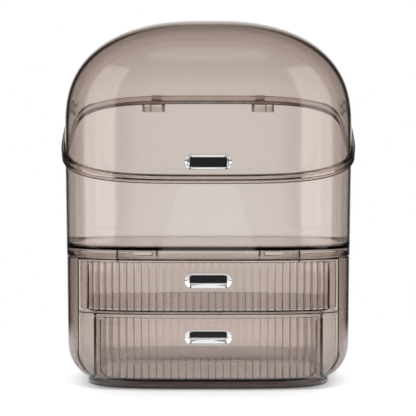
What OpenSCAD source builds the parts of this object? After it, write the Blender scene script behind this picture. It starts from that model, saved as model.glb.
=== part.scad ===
// Domed dustproof make-up organizer, moulded in smoky clear plastic: a bucket-shaped base with two
// reeded drawers, an open compartment tub clipped on top, and a domed lid hinged along the back.
// Millimetres. Z is up, the drawers face -Y, and the origin is under the middle of the foot plinth.

/* [Case outline] */
// Half of the case's width, over its plain walls
case_half_width = 143; // [130:1:160]
// Half of the case's depth, over its plain walls
case_half_depth = 102; // [92:1:114]
// Squareness of the plan outline: 2 is an ellipse, more is nearer a box
outline_power = 3.6; // [3:0.1:4.6]
// Thickness of the moulded walls
wall = 2.5; // [2:0.1:3]

/* [Heights] */
// Height of the foot plinth, on which the base stands
foot_h = 5; // [4:0.5:8]
// Thickness of the foot plinth's floor
foot_floor_t = 2; // [1.6:0.1:3]
// Inset of the foot's sides from the case's sides
foot_side_in = 24; // [20:1:28]
// Inset of the foot's front and back from the case's front and back
foot_end_in = 18; // [16:1:26]
// Width of the band in which the foot meets the base's flat underside
foot_seat = 4; // [3:0.5:8]
// Top of the base, where the compartment tub stands on it
base_top = 125.5; // [122:0.5:132]
// Height of the drawer base's rounded lower edge
base_round_h = 34; // [26:1:40]
// Inward reach of the drawer base's rounded lower edge
base_round_in = 29; // [22:1:30]
// Step in from the tub's wall to the base's wall
base_step = 1.5; // [0.5:0.25:2]
// Height at which the upright walls turn into the dome
dome_spring = 253; // [245:1:262]
// Top of the dome
case_top = 357; // [345:1:370]
// Squareness of the dome's profile: 2 is an ellipse
dome_power = 2.45; // [2:0.05:3]

/* [Parting line] */
// Height of the parting plane at the middle of the case
parting_mid = 240.5; // [238:0.5:244]
// Slope of the parting plane, rising towards the hinges
parting_tilt = 21; // [19:0.5:22]
// Gap between the closed lid and the tub
seam_gap = 0.3; // [0.2:0.05:0.6]
// Reach of the two flanges beyond the walls
flange_reach = 3.5; // [2.5:0.1:4]
// Thickness of the lid's flange
lid_flange_t = 4.7; // [3:0.1:6]
// Thickness of the tub's flange
tub_flange_t = 3; // [2.5:0.1:3.6]

/* [Compartment tub] */
// Underside of the tub's floor
tub_floor_bottom = 134.5; // [134.5:0.1:136]
// Half of the distance between the two inner ribs under the tub's floor
inner_rib_x = 49; // [44:1:54]
// Half of the distance between the two outer ribs under the tub's floor
outer_rib_x = 87; // [82:1:92]
// Lower edge of the outer ribs, just over the upper drawer
outer_rib_bottom = 121.8; // [121.4:0.1:122.4]
// Lower edge of the inner ribs
inner_rib_bottom = 128; // [126:0.5:130]
// Thickness of the ribs
rib_t = 1.6; // [1.2:0.1:2.2]

/* [Clips between base and tub] */
// Height of the base's spigot, inside the tub's skirt
spigot_h = 5.5; // [4.5:0.1:6]
// Radial gap between spigot and skirt
spigot_gap = 0.2; // [0.1:0.05:0.3]
// Distance of a clip's middle from the case's middle
clip_x = 62.5; // [58:0.5:68]
// Width of a clip's pill-shaped window
clip_window_w = 17.6; // [14:0.2:20]
// Height of a clip's pill-shaped window
clip_window_h = 3.8; // [3.2:0.1:4.2]
// Gap all round the nub that sits in a clip's window
clip_gap = 0.4; // [0.2:0.05:0.6]

/* [Front opening] */
// Width of the base's corner on each side of the opening
side_post = 16.5; // [15:0.5:21]
// Radius of the opening's lower corners
opening_round = 24; // [16:1:30]
// Lower edge of the opening
opening_bottom = 10; // [9:0.2:10.6]
// Thickness of the ledge over the opening
ledge_t = 1.6; // [1.2:0.1:2]

/* [Divider shelf and side guides] */
// Underside of the shelf's front beam
beam_bottom = 70.8; // [69.5:0.1:72]
// Height of the shelf's front beam
beam_h = 4.1; // [3.6:0.1:4.6]
// Thickness of the shelf's plate
shelf_t = 2.5; // [1.8:0.1:3]
// Thickness of a side guide
guide_t = 2.5; // [1.5:0.1:2.8]
// Distance of a side guide's outer face inside the edge of the base's flat floor
guide_inset = 1.9; // [1.5:0.1:4]
// Distance of a side guide's ends from the case's front and back
guide_end = 32; // [28:1:44]
// Gap between a side guide's lower corners and the base's rounded edge
guide_clear = 1; // [0.6:0.1:2]

/* [Drawers] */
// Gap between a drawer front and the edges of its opening, at the sides
front_side_gap = 1.7; // [1:0.1:2.5]
// Gap above and below a drawer front
front_gap = 0.8; // [0.5:0.1:1.2]
// Radius of the upper drawer front's lower corners
upper_front_round = 3; // [1:0.5:6]
// Overhang of the upper drawer front beyond its tray, at each side
upper_overhang = 7.3; // [5:0.1:12]
// Top edge of the upper tray's walls
upper_tray_top = 120.4; // [112:0.2:120.6]
// Radius of the upper tray's lower edges
upper_tray_round = 3; // [2.6:0.2:5]
// Gap between the lower tray and the side guides
guide_gap = 4.1; // [1:0.1:8]
// Top edge of the lower tray's walls
lower_tray_top = 67.5; // [60:0.5:68]
// Radius of the lower tray's long lower edges
lower_tray_round = 12; // [8:0.5:14]
// Radius of the lower tray's rear lower edge
tray_back_round = 24; // [22:1:28]
// Distance of the lower tray's back from the case's back
tray_back_space = 18; // [17.5:0.5:30]
// Thickness of a tray's walls and floor
tray_wall = 2; // [1.6:0.1:2.4]
// Gap under and behind a tray
tray_gap = 0.4; // [0.3:0.05:0.6]

/* [Reeds on the drawer fronts] */
// Distance between neighbouring reeds, along the front
reed_pitch = 7.05; // [6.4:0.05:8]
// Depth of the valleys between the reeds
reed_depth = 1.2; // [0.5:0.1:1.4]
// Plain margin at each end of the upper front
upper_margin = 7; // [5:0.5:12]
// Plain margin at each end of the lower front
lower_margin = 21; // [14:0.5:24]

/* [Pulls] */
// Width of a pull's rim
pull_w = 44.8; // [38:0.2:50]
// Height of a pull's rim
pull_h = 14.3; // [13:0.1:16]
// Width of a pull's recess
recess_w = 37; // [30:0.5:37.5]
// Height of a pull's recess
recess_h = 9; // [7:0.1:9.2]
// Depth of a pull's recess
recess_depth = 8; // [5:0.5:9]
// Thickness of a pull's rim in front of the face
pull_proud = 1.8; // [1:0.1:2.4]
// Thickness of a pull's shell
pull_wall = 0.9; // [0.8:0.1:1.2]
// Gap between a pull's body and its hole
pull_gap = 0.3; // [0.2:0.05:0.5]
// Height of the lid's pull above the lid's front edge
lid_pull_rise = 16.85; // [14:0.05:30]
// Height of the upper drawer's pull
upper_pull_z = 105.2; // [98:0.2:110]
// Height of the lower drawer's pull
lower_pull_z = 51.3; // [40:0.5:56]

/* [Hinges] */
// Distance of a knuckle's inner end from the middle
knuckle_x = 49.2; // [44:0.2:54]
// Length of a knuckle
knuckle_w = 10.7; // [8:0.1:12]
// Radius of a knuckle
knuckle_r = 4; // [3.6:0.1:4.1]
// Radius of the brackets' ears
ear_r = 3.4; // [3:0.1:3.6]
// Thickness of the ear at a knuckle's inner end
ear_inner_t = 3.2; // [2:0.1:3.6]
// Thickness of the ear at a knuckle's outer end
ear_middle_t = 1.4; // [1.2:0.1:2]
// Distance between the middle ear and the outermost ear
ear_outer_space = 5.8; // [4:0.1:7]
// Thickness of the outermost ear
ear_outer_t = 2.1; // [1.6:0.1:3]
// Gap between a knuckle and the ears beside it
knuckle_gap = 0.35; // [0.3:0.05:0.6]
// Radius of a hinge pin
pin_r = 1.2; // [1:0.05:1.5]
// Running gap between a hinge pin and its knuckle's bore
pin_fit = 0.06; // [0.03:0.01:0.09]
// Distance of the hinge axis behind the flanges
axis_back = 4.5; // [4.5:0.1:5]
// Drop of the hinge axis below the parting plane's rear edge
axis_drop = 1.5; // [1.2:0.1:1.8]
// Length of an ear's web, down the tub's back
web_h = 12.5; // [8:0.5:16]

/* [Hidden] */
$fn = 48;

// Colours seen in the photograph
smoke = [0.78, 0.72, 0.69, 0.45];
smoke_dark = [0.60, 0.53, 0.49, 0.55];
chrome = [0.82, 0.82, 0.83];
steel = [0.55, 0.54, 0.53];

// Number of straight sides of the plan outline, rings of the dome and rings of the base's edge
sides = 80;
dome_rings = 13;
round_rings = 7;
// The dome's last ring stops this many degrees along the profile, under a small flat crown
crown_angle = 88;
// Number of points on the front of one reed
reed_points = 5;
// Number of steps in a side guide's lower corners, and of chords along a drawer front's inner face
guide_steps = 6;
front_chords = 16;
// Small distance for cuts that run past a face
past = 1;
// Long enough to pass the whole case
far = 500;

dome_h = case_top - dome_spring;
floor_top = foot_h + wall;
base_ledge = base_top - ledge_t;
base_half_width = case_half_width - base_step;
base_half_depth = case_half_depth - base_step;
spigot_out = wall + spigot_gap;
spigot_in = spigot_out + wall;
clip_top = tub_floor_bottom - 0.2;
clip_window_z = clip_top - 0.6 - clip_window_h / 2;
opening_half_width = base_half_width - side_post;
front_half_width = opening_half_width - front_side_gap;
upper_front_bottom = beam_bottom + beam_h + 2 * front_gap;
upper_front_top = base_ledge - front_gap;
lower_front_bottom = opening_bottom + tray_gap;
lower_front_top = beam_bottom - front_gap;
shelf_bottom = beam_bottom + 1.2;
shelf_gap = 0.6;
upper_tray_bottom = beam_bottom + beam_h + tray_gap;
lower_tray_bottom = opening_bottom + tray_gap;
lower_tray_back = base_half_depth - tray_back_space;
guide_out_x = base_half_width - base_round_in - guide_inset;
lower_tray_half_width = guide_out_x - guide_t - guide_gap;
upper_tray_half_width = front_half_width - upper_overhang;
flange_half_depth = case_half_depth + flange_reach;
lid_pull_z = parting_mid - tan(parting_tilt) * case_half_depth + lid_pull_rise;
axis_y = flange_half_depth + axis_back;
axis_z = parting_mid + tan(parting_tilt) * flange_half_depth - axis_drop;
hole_w = recess_w + 2 * pull_wall + 2 * pull_gap;
hole_h = recess_h + 2 * pull_wall + 2 * pull_gap;

// Points of the plan outline with the given half width and half depth
function outline(a, b) = [for (i = [0:sides - 1])
    let (t = 360 * i / sides, c = cos(t), s = sin(t))
    [sign(c) * a * pow(abs(c), 2 / outline_power), sign(s) * b * pow(abs(s), 2 / outline_power)]];

// Depth of the outline's front at a distance x from the middle
function front_y(x, a, b) = -b * pow(1 - pow(abs(x) / a, outline_power), 1 / outline_power);

// Inset of the base's inner face at a height on its rounded lower edge
function bucket_inset(z) =
    let (c = 1 - min(1, (z - floor_top) / (base_round_h - wall)))
    wall + (base_round_in - wall) * (1 - sqrt(1 - pow(c, 2)));

// Half of a side guide's length at a height, clear of the base's rounded lower edge
function guide_half(z) =
    let (in = bucket_inset(z))
    min(base_half_depth - guide_end,
        -front_y(guide_out_x, base_half_width - in, base_half_depth - in) - guide_clear);

// Distance along the front from the middle to each of a row of points, as [length, x] pairs
function front_lengths(a, b, step, i = 0, run = 0, rows = []) =
    i * step > front_half_width + step ? concat(rows, [[run, i * step]]) :
    front_lengths(a, b, step, i + 1,
        run + norm([step, front_y((i + 1) * step, a, b) - front_y(i * step, a, b)]),
        concat(rows, [[run, i * step]]));
front_table = front_lengths(base_half_width, base_half_depth, 2.5);

// Place on the case's front at a signed length along it from the middle, set back by a depth
function front_point(u, depth) =
    let (x = sign(u) * lookup(abs(u), front_table),
         y = front_y(x, base_half_width, base_half_depth),
         near = front_y(x + 0.1, base_half_width, base_half_depth),
         slope = atan2(near - y, 0.1))
    [x - depth * sin(slope), y + depth * cos(slope)];

// Depth of a reed's face below its crest, at a distance from its middle line
reed_r = (pow(reed_pitch / 2, 2) + pow(reed_depth, 2)) / (2 * reed_depth);
function reed_fall(d) = reed_r - sqrt(pow(reed_r, 2) - pow(d, 2));

// Closed skin over a stack of plan outlines, given as [half width, half depth, height] rings
module skin(rings) {
    count = len(rings);
    points = [for (r = rings) for (p = outline(r[0], r[1])) [p[0], p[1], r[2]]];
    bottom = [[for (i = [0:sides - 1]) i]];
    top = [[for (i = [sides - 1:-1:0]) (count - 1) * sides + i]];
    side = [for (k = [0:count - 2], i = [0:sides - 1], half = [0, 1])
        let (j = (i + 1) % sides, low = k * sides, high = low + sides)
        half == 0 ? [low + i, high + j, low + j] : [low + i, high + i, high + j]];
    polyhedron(points, concat(bottom, side, top), convexity = 6);
}

// Upright prism with the case's plan outline, drawn in by an inset
module prism(inset, low, high) {
    translate([0, 0, low])
        linear_extrude(high - low)
            polygon(outline(case_half_width - inset, case_half_depth - inset));
}

// Everything above the parting plane, raised by an amount
module above_parting(rise) {
    translate([0, 0, parting_mid + rise])
        rotate([parting_tilt, 0, 0])
            translate([-far / 2, -far / 2, 0])
                cube(far);
}

// Band between two planes parallel to the parting plane
module parting_slab(low, high) {
    difference() {
        above_parting(low);
        above_parting(high);
    }
}

// Pill-shaped block lying across the front, from one depth to another
module pill(w, h, z, front, back) {
    translate([0, back, z])
        rotate([90, 0, 0])
            linear_extrude(back - front)
                union() {
                    square([w - h, h], center = true);
                    for (side = [-1, 1])
                        translate([side * (w - h) / 2, 0])
                            circle(d = h);
                }
}

// Flat shape with rounded lower corners, from the middle out to a half width
module rounded_bottom(half_width, low, high, r) {
    translate([-half_width, low + r])
        square([2 * half_width, high - low - r]);
    translate([r - half_width, low])
        square([2 * (half_width - r), high - low]);
    for (side = [-1, 1])
        translate([side * (half_width - r), low + r])
            circle(r);
}

// The same shape as a block, between two depths
module rounded_block(half_width, low, high, r, front, back) {
    translate([0, back, 0])
        rotate([90, 0, 0])
            linear_extrude(back - front)
                rounded_bottom(half_width, low, high, r);
}

// The base's outer or inner form: upright walls over a rounded lower edge
module bucket(inset, high) {
    reach = base_round_in - inset;
    rise = base_round_h - inset;
    skin(concat(
        [for (i = [0:round_rings])
            let (f = 90 * i / round_rings, in = inset + reach * (1 - sin(f)))
            [base_half_width - in, base_half_depth - in, foot_h + inset + rise * (1 - cos(f))]],
        [[base_half_width - inset, base_half_depth - inset, high]]));
}

// One clip's trapezoid, standing on the spigot
module clip_tab() {
    translate([0, far / 2, 0])
        rotate([90, 0, 0])
            linear_extrude(far)
                polygon([[clip_x - 16, base_top], [clip_x + 16, base_top],
                         [clip_x + 12, clip_top], [clip_x - 12, clip_top]]);
}

// Bar-shaped hole of a clip, or the nub that sits in it when a gap is given
module clip_bar(gap) {
    translate([clip_x, 0, 0])
        pill(clip_window_w - 2 * gap, clip_window_h - 2 * gap, clip_window_z, -far / 2, far / 2);
}

// Both hands of a shape, mirrored about the middle of the case
module both_hands() {
    children();
    mirror([1, 0, 0])
        children();
}

module base_shell() {
    color(smoke) {
        difference() {
            bucket(0, base_top);
            bucket(wall, base_top + past);
            rounded_block(opening_half_width, opening_bottom, base_ledge, opening_round,
                          -far / 2, -base_half_depth / 2);
        }
        difference() {
            prism(base_step + wall / 2, base_ledge, base_top);
            prism(spigot_in, base_ledge - past, base_top + past);
        }
        difference() {
            intersection() {
                prism(spigot_out, base_ledge, clip_top);
                union() {
                    prism(0, base_ledge, base_top + spigot_h);
                    both_hands()
                        clip_tab();
                }
            }
            prism(spigot_in, base_ledge - past, clip_top + past);
            both_hands()
                clip_bar(0);
        }
    }
}

module foot_plinth() {
    color(smoke_dark)
        difference() {
            linear_extrude(foot_h)
                polygon(outline(case_half_width - foot_side_in, case_half_depth - foot_end_in));
            prism(base_step + base_round_in + foot_seat, foot_floor_t, foot_h + past);
        }
}

// Upright plate beside the lower drawer; its lower corners follow the base's rounded edge
module side_guide() {
    rises = [for (k = [0:guide_steps]) pow(k / guide_steps, 2) * base_round_h * 0.6];
    heights = concat([for (h = rises) floor_top + h], [shelf_bottom]);
    last = len(heights) - 1;
    translate([guide_out_x - guide_t, 0, 0])
        rotate([90, 0, 90])
            linear_extrude(guide_t)
                polygon(concat([for (z = heights) [guide_half(z), z]],
                               [for (k = [last:-1:0]) [-guide_half(heights[k]), heights[k]]]));
}

module side_guide_left() {
    color(smoke)
        mirror([1, 0, 0])
            side_guide();
}

module side_guide_right() {
    color(smoke)
        side_guide();
}

// Box as wide as the opening, from the front back to a depth
module opening_span(back) {
    tongue = opening_half_width - 0.6;
    translate([-tongue, -far, 0])
        cube([2 * tongue, far + back, far]);
}

module divider_shelf() {
    color(smoke_dark)
        intersection() {
            union() {
                prism(base_step + wall + shelf_gap, shelf_bottom, shelf_bottom + shelf_t);
                intersection() {
                    prism(base_step, shelf_bottom, shelf_bottom + shelf_t);
                    opening_span(-base_half_depth / 2);
                }
                intersection() {
                    difference() {
                        prism(base_step, beam_bottom, beam_bottom + beam_h);
                        prism(base_step + 2 * wall, beam_bottom - past, beam_bottom + beam_h + past);
                    }
                    opening_span(-base_half_depth / 2);
                }
            }
            opening_span(far);
        }
}

module tub_flange() {
    difference() {
        intersection() {
            prism(-flange_reach, base_top, case_top);
            parting_slab(-tub_flange_t - seam_gap / 2, -seam_gap / 2);
        }
        prism(wall / 2, base_top, case_top + past);
    }
}

module compartment_tub() {
    color(smoke) {
        difference() {
            prism(0, base_top, case_top);
            prism(wall, base_top - past, case_top + past);
            above_parting(-seam_gap / 2);
        }
        prism(wall / 2, tub_floor_bottom, tub_floor_bottom + wall);
        tub_flange();
        both_hands() {
            translate([inner_rib_x, -case_half_depth + 3 * wall, inner_rib_bottom])
                cube([rib_t, 2 * case_half_depth - 6 * wall, tub_floor_bottom - inner_rib_bottom]);
            translate([outer_rib_x, -case_half_depth * 0.85, outer_rib_bottom])
                cube([rib_t, case_half_depth * 1.7, tub_floor_bottom - outer_rib_bottom]);
            difference() {
                intersection() {
                    clip_bar(clip_gap);
                    prism(wall / 2, base_top, tub_floor_bottom);
                }
                prism(spigot_in - 0.5, base_top - past, tub_floor_bottom + past);
            }
        }
    }
}

// One ear: a disc round the hinge axis and the web that carries it on the tub's back
module ear(x, t) {
    translate([x, axis_y, axis_z])
        rotate([0, 90, 0])
            cylinder(r = ear_r, h = t);
    translate([x, 0, 0])
        rotate([90, 0, 90])
            linear_extrude(t)
                polygon([[case_half_depth - wall, axis_z - web_h], [case_half_depth + 1.5, axis_z - web_h],
                         [axis_y + ear_r, axis_z], [case_half_depth - wall, axis_z]]);
}

ear_middle_x = knuckle_x + knuckle_w + knuckle_gap;
ear_outer_x = ear_middle_x + ear_middle_t + ear_outer_space;
ear_inner_x = knuckle_x - knuckle_gap - ear_inner_t;
pin_end = ear_outer_x + ear_outer_t;

module hinge_bracket() {
    difference() {
        union() {
            ear(ear_inner_x, ear_inner_t);
            ear(ear_middle_x, ear_middle_t);
            ear(ear_outer_x, ear_outer_t);
            translate([ear_inner_x, case_half_depth - wall, axis_z - web_h])
                cube([pin_end - ear_inner_x, wall + 1.5, web_h - 6]);
        }
        prism(0, base_top, case_top);
        prism(-flange_reach, axis_z - ear_r - 0.9, case_top);
        translate([0, axis_y, axis_z])
            rotate([0, 90, 0])
                cylinder(r = pin_r, h = far);
    }
    difference() {
        intersection() {
            union() {
                ear(ear_inner_x, ear_inner_t);
                ear(ear_middle_x, ear_middle_t);
                ear(ear_outer_x, ear_outer_t);
            }
            prism(-flange_reach - 0.01, axis_z - ear_r - 0.9, axis_z);
        }
        prism(0, base_top, case_top);
        above_parting(-tub_flange_t - seam_gap / 2);
    }
}

module hinge_bracket_left() {
    color(smoke_dark)
        mirror([1, 0, 0])
            hinge_bracket();
}

module hinge_bracket_right() {
    color(smoke_dark)
        hinge_bracket();
}

module hinge_pin() {
    head_t = 0.9;
    translate([ear_inner_x - head_t, axis_y, axis_z])
        rotate([0, 90, 0]) {
            cylinder(r = pin_r, h = pin_end - ear_inner_x + 2 * head_t);
            cylinder(r = pin_r + 0.7, h = head_t);
            translate([0, 0, pin_end - ear_inner_x + head_t])
                cylinder(r = pin_r + 0.7, h = head_t);
        }
}

module hinge_pin_left() {
    color(steel)
        mirror([1, 0, 0])
            hinge_pin();
}

module hinge_pin_right() {
    color(steel)
        hinge_pin();
}

// The dome's outer or inner form, from below the parting plane to the crown
module dome(inset) {
    high = dome_h - inset;
    a = case_half_width - inset;
    b = case_half_depth - inset;
    skin(concat(
        [[a, b, parting_mid - 60]],
        [for (i = [0:dome_rings])
            let (f = crown_angle * i / dome_rings, s = pow(cos(f), 2 / dome_power))
            [a * s, b * s, dome_spring + high * pow(sin(f), 2 / dome_power)]]));
}

module lid_dome() {
    color(smoke)
        difference() {
            union() {
                difference() {
                    dome(0);
                    dome(wall);
                }
                difference() {
                    intersection() {
                        prism(-flange_reach, base_top, case_top);
                        parting_slab(seam_gap / 2, seam_gap / 2 + lid_flange_t);
                    }
                    prism(wall, base_top, case_top + past);
                }
            }
            above_parting_complement();
            pill(hole_w, hole_h, lid_pull_z, -case_half_depth - past, -case_half_depth / 2);
        }
}

// Everything below the lid's lower face
module above_parting_complement() {
    translate([0, 0, parting_mid + seam_gap / 2])
        rotate([parting_tilt, 0, 0])
            translate([-far / 2, -far / 2, -far])
                cube(far);
}

module hinge_knuckle() {
    difference() {
        union() {
            translate([knuckle_x, axis_y, axis_z])
                rotate([0, 90, 0])
                    cylinder(r = knuckle_r, h = knuckle_w);
            translate([knuckle_x, flange_half_depth - 4, axis_z + axis_drop + seam_gap])
                cube([knuckle_w, axis_back + knuckle_r, lid_flange_t]);
        }
        prism(-flange_reach, base_top, case_top);
        translate([0, axis_y, axis_z])
            rotate([0, 90, 0])
                cylinder(r = pin_r + pin_fit, h = far);
    }
}

module hinge_knuckle_left() {
    color(smoke)
        mirror([1, 0, 0])
            hinge_knuckle();
}

module hinge_knuckle_right() {
    color(smoke)
        hinge_knuckle();
}

// A pull: a pill-shaped rim with a deep recess, its body passing through the face behind it
module pull(z, face) {
    color(chrome)
        difference() {
            union() {
                pill(pull_w, pull_h, z, face - pull_proud, face);
                pill(recess_w + 2 * pull_wall, recess_h + 2 * pull_wall, z, face - past / 2,
                     face - pull_proud + recess_depth + pull_wall);
            }
            pill(recess_w, recess_h, z, face - pull_proud - past, face - pull_proud + recess_depth);
        }
}

module lid_pull() {
    pull(lid_pull_z, -case_half_depth);
}

module upper_drawer_pull() {
    pull(upper_pull_z, -base_half_depth);
}

module lower_drawer_pull() {
    pull(lower_pull_z, -base_half_depth);
}

// Length of a drawer front from the middle to its end, along its curve
front_end = lookup(front_half_width, [for (r = front_table) [r[1], r[0]]]);

// Points of a drawer front's inner face, from right to left
front_inside = [for (i = [front_chords:-2:-front_chords]) front_point(front_end * i / front_chords, wall)];

// Plan of a drawer front: reeds along the outside, the wall's inner curve behind
module front_plan(margin) {
    reeds = floor((front_end - margin) / reed_pitch);
    outer = concat(
        [front_point(-front_end, 0)],
        [for (k = [-reeds:reeds - 1], i = [0:reed_points])
            let (d = reed_pitch * (i / reed_points - 0.5))
            front_point(reed_pitch * (k + 0.5) + d, reed_fall(d))],
        [front_point(front_end, 0)]);
    polygon(concat(outer, front_inside));
}

// Everything behind a drawer front's inner face
module behind_front() {
    translate([0, 0, -past])
        linear_extrude(far)
            polygon(concat(front_inside, [[-base_half_width, far], [base_half_width, far]]));
}

module drawer_front(margin, low, high, r, pull_z) {
    color(smoke)
        difference() {
            intersection() {
                translate([0, 0, low])
                    linear_extrude(high - low)
                        front_plan(margin);
                rounded_block(front_half_width, low, high, r, -far / 2, far / 2);
            }
            pill(hole_w, hole_h, pull_z, -base_half_depth - past, -base_half_depth / 2);
        }
}

module upper_drawer_front() {
    drawer_front(upper_margin, upper_front_bottom, upper_front_top, upper_front_round, upper_pull_z);
}

module lower_drawer_front() {
    drawer_front(lower_margin, lower_front_bottom, lower_front_top,
                 opening_round - front_side_gap, lower_pull_z);
}

// Solid block with the outer form of a tray, drawn in by an inset
module tray_block(half_width, low, high, r, back, back_r, inset) {
    intersection() {
        rounded_block(half_width - inset, low + inset, high, r - inset, -far, back - inset);
        translate([0, back - inset - far / 2, 0])
            rotate([0, 0, 90])
                rounded_block(far / 2, low + inset, high + past, back_r - inset, -far, far);
        behind_front();
    }
}

// A tray: walls at the sides and back, open at the front where the drawer front closes it
module tray(half_width, low, high, r, back, back_r) {
    color(smoke)
        difference() {
            intersection() {
                tray_block(half_width, low, high, r, back, back_r, 0);
                union() {
                    prism(base_step + wall + tray_gap, low, high);
                    translate([-far / 2, -far, low])
                        cube([far, far, far]);
                }
            }
            intersection() {
                translate([0, -past, 0])
                    tray_block(half_width, low, high + past, r, back + past, back_r, tray_wall);
                union() {
                    prism(base_step + wall + tray_gap + tray_wall, low, high + past);
                    translate([-far / 2, -far, low])
                        cube([far, far, far]);
                }
            }
        }
}

module upper_drawer_tray() {
    tray(upper_tray_half_width, upper_tray_bottom, upper_tray_top, upper_tray_round,
         base_half_depth - wall - tray_gap, upper_tray_round);
}

module lower_drawer_tray() {
    tray(lower_tray_half_width, lower_tray_bottom, lower_tray_top, lower_tray_round,
         lower_tray_back, tray_back_round);
}

base_shell();
foot_plinth();
side_guide_left();
side_guide_right();
divider_shelf();
compartment_tub();
hinge_bracket_left();
hinge_bracket_right();
hinge_pin_left();
hinge_pin_right();
lid_dome();
hinge_knuckle_left();
hinge_knuckle_right();
lid_pull();
upper_drawer_tray();
upper_drawer_front();
upper_drawer_pull();
lower_drawer_tray();
lower_drawer_front();
lower_drawer_pull();
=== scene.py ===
"""Looks of a domed, dustproof make-up organizer in smoky clear plastic.

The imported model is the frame: every piece built here lies where its solid lies, in metres. The case
is turned from one plan outline, so the lid, tub, base and plinth are skins over stacked outlines,
the reeded drawer fronts are grown by a node tree, and the chrome pulls are lofted pills.
"""
from __future__ import annotations

import logging
import math
from collections.abc import Sequence
from dataclasses import dataclass, field
from enum import Enum

import bmesh
import bpy
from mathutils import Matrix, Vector


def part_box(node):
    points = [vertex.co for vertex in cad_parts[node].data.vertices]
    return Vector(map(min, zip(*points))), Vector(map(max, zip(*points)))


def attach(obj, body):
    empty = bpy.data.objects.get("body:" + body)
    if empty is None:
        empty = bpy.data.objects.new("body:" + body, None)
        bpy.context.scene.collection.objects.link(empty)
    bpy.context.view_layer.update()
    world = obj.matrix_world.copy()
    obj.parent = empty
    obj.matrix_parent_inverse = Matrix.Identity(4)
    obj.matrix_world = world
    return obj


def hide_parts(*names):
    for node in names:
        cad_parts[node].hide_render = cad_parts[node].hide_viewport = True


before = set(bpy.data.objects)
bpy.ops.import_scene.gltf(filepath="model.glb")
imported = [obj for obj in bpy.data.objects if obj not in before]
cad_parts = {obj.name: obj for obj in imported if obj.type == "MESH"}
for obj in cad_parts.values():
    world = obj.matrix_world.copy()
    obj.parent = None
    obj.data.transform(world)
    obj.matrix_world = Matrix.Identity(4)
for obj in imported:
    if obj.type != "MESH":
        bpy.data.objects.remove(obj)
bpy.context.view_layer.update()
LOG = logging.getLogger("organizer")

MM = 0.001
# Number of columns round every outline of the case.
COLUMNS = 256
# Roundings of small edges.
SOFT = 0.3 * MM
TIGHT = 0.2 * MM
# A distance that lies outside the case on every side.
BEYOND = 0.2
# Share of the half depth by which a closed floor's inmost ring is drawn in.
CORE = 0.9
# A number too small to show, which keeps sums safe from rounding.
TINY = 1e-12
WHITE = (1, 1, 1, 1)

Point = tuple[float, float, float]
Ring = list[Point]
Outline = list[tuple[float, float]]


class Datum(Enum):
    """Where a height in a wall's section is measured from."""

    TABLE = "the surface the case stands on"
    PARTING = "the sloping plane between lid and tub"
    REBATE = "the top of the tub's inner lip, which rises into the lid"


@dataclass(frozen=True)
class Corner:
    """One corner of a wall's section.

    Attributes:
        out: Distance outside the case's plain outline, negative inwards.
        up: Height above the datum.
        radius: Radius that rounds the corner.
        datum: What the height is measured from.
    """

    out: float
    up: float
    radius: float = 0.0
    datum: Datum = Datum.TABLE


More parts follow.
